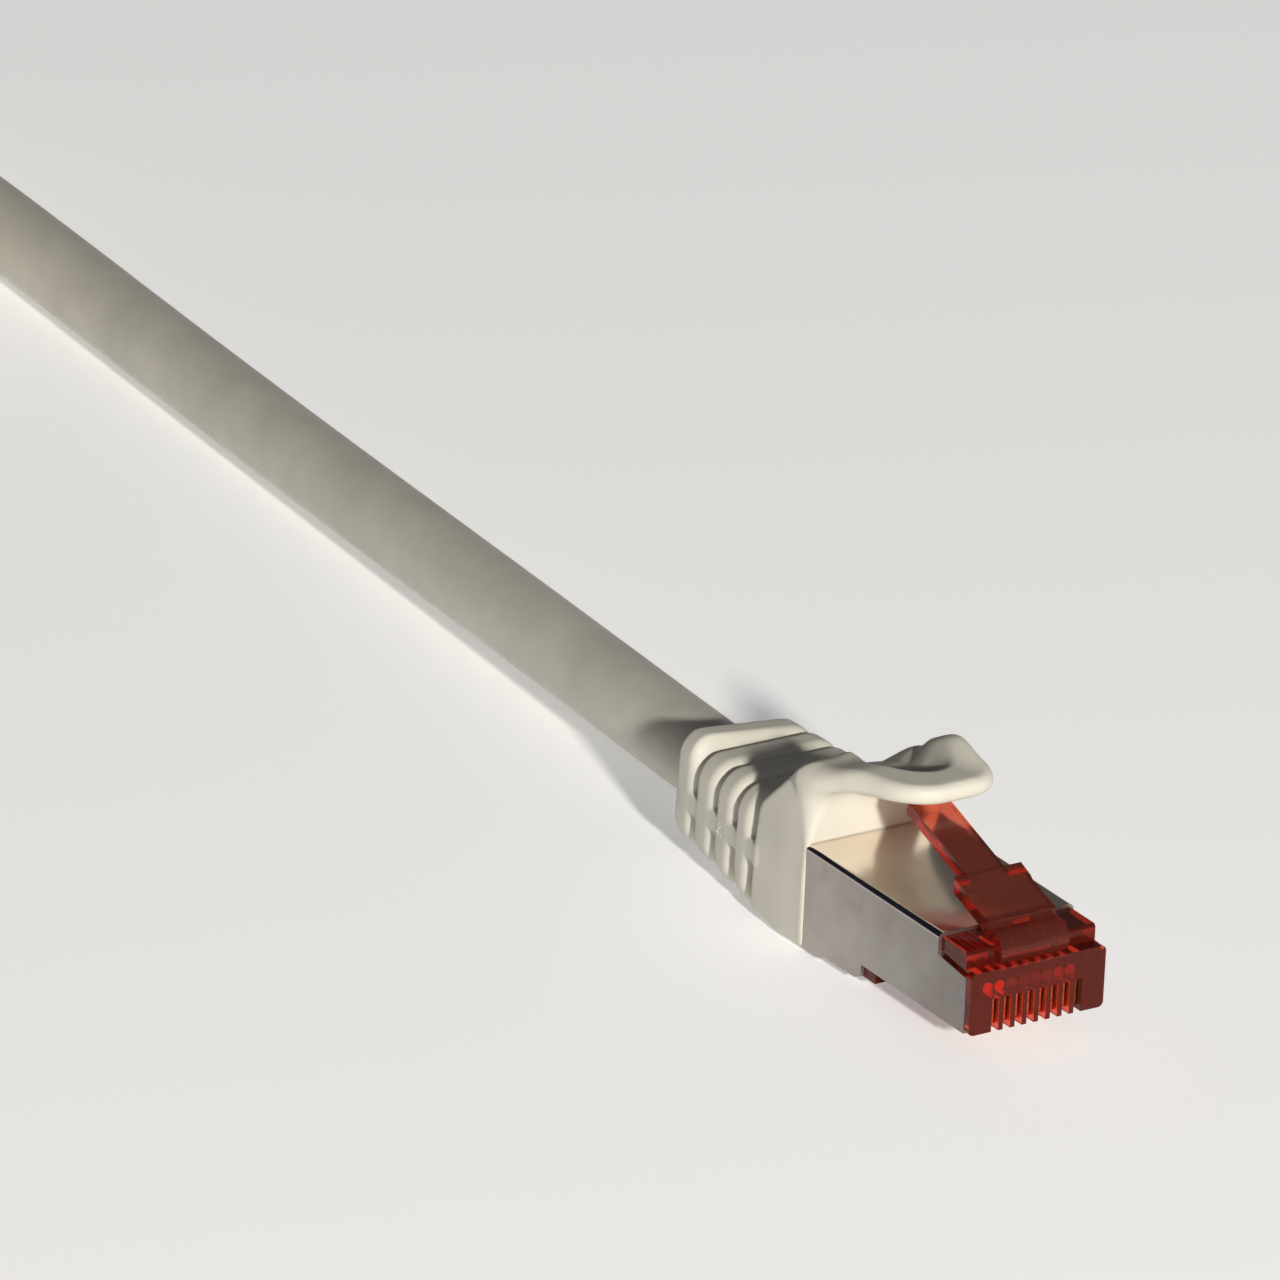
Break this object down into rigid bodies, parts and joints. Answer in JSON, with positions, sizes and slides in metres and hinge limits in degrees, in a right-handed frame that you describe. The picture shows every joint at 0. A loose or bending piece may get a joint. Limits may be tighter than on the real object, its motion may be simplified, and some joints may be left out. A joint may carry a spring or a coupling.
{
  "type": "ethernet patch cable",
  "caption": "Round grey data lead with a shielded modular plug at each end, each with a sprung locking latch under a moulded boot's thumb tab; spare length coiled.",
  "frame": {"origin": "bottom centre of the near plug and its boot, without the lead and the far end", "axes": "+X out of the near plug's nose along the plug, +Z towards its latch, the lead lies on Z = 0 towards -X"},
  "size_m": [0.234, 0.0808, 0.016],
  "materials": {
    "red_polycarbonate": "clear tinted, moulded gloss",
    "nickel_sheet": "nickel plate on rolled sheet, satin sides",
    "gold_plating": "polished gold plating",
    "comb_plastic": "natural polycarbonate",
    "orange_insulation": "extruded polyethylene",
    "green_insulation": "extruded polyethylene",
    "blue_insulation": "extruded polyethylene",
    "brown_insulation": "extruded polyethylene",
    "screen_foil": "bright foil",
    "tinned_braid": "tinned copper braid",
    "boot_pvc": "soft moulded, fine matt texture",
    "cable_pvc": "extruded, matt"
  },
  "bodies": {
    "cable_body": {"cable_near_lead": "cable_pvc", "cable_coil": "cable_pvc", "cable_far_lead": "cable_pvc", "near_plug_housing": "red_polycarbonate", "near_shield_shell": "nickel_sheet", "near_contacts": "gold_plating", "near_load_bar": "comb_plastic", "near_orange_pair": "orange_insulation", "near_green_pair": "green_insulation", "near_blue_pair": "blue_insulation", "near_brown_pair": "brown_insulation", "near_foil_screen": "screen_foil", "near_braid_cuff": "tinned_braid", "near_boot": "boot_pvc", "far_plug_housing": "red_polycarbonate", "far_shield_shell": "nickel_sheet", "far_contacts": "gold_plating", "far_load_bar": "comb_plastic", "far_orange_pair": "orange_insulation", "far_green_pair": "green_insulation", "far_blue_pair": "blue_insulation", "far_brown_pair": "brown_insulation", "far_foil_screen": "screen_foil", "far_braid_cuff": "tinned_braid", "far_boot": "boot_pvc"},
    "near_latch": {"near_plug_latch": "red_polycarbonate"},
    "near_tab": {"near_boot_tab": "boot_pvc"},
    "far_latch": {"far_plug_latch": "red_polycarbonate"},
    "far_tab": {"far_boot_tab": "boot_pvc"}
  },
  "joints": [
    {"name": "near_tab_press", "type": "hinge", "parent": "cable_body", "child": "near_tab", "pos_m": [-0.0029, 0, 0.0141], "axis": [0, 1, 0], "range_deg": [0, 16], "stiffness_Nm_per_rad": 0.04},
    {"name": "near_latch_press", "type": "hinge", "parent": "cable_body", "child": "near_latch", "pos_m": [0.0178, 0, 0.00765], "axis": [0, -1, 0], "range_deg": [0, 10], "stiffness_Nm_per_rad": 0.04},
    {"name": "far_tab_press", "type": "hinge", "parent": "cable_body", "child": "far_tab", "pos_m": [-0.1212, -0.0606, 0.0141], "axis": [0, 1, 0], "range_deg": [0, 16], "stiffness_Nm_per_rad": 0.04},
    {"name": "far_latch_press", "type": "hinge", "parent": "cable_body", "child": "far_latch", "pos_m": [-0.1005, -0.0606, 0.00765], "axis": [0, -1, 0], "range_deg": [0, 10], "stiffness_Nm_per_rad": 0.04}
  ],
  "couplings": [
    {"joint": "near_latch_press", "follows": "near_tab_press", "ratio": 0.625},
    {"joint": "far_latch_press", "follows": "far_tab_press", "ratio": 0.625}
  ]
}
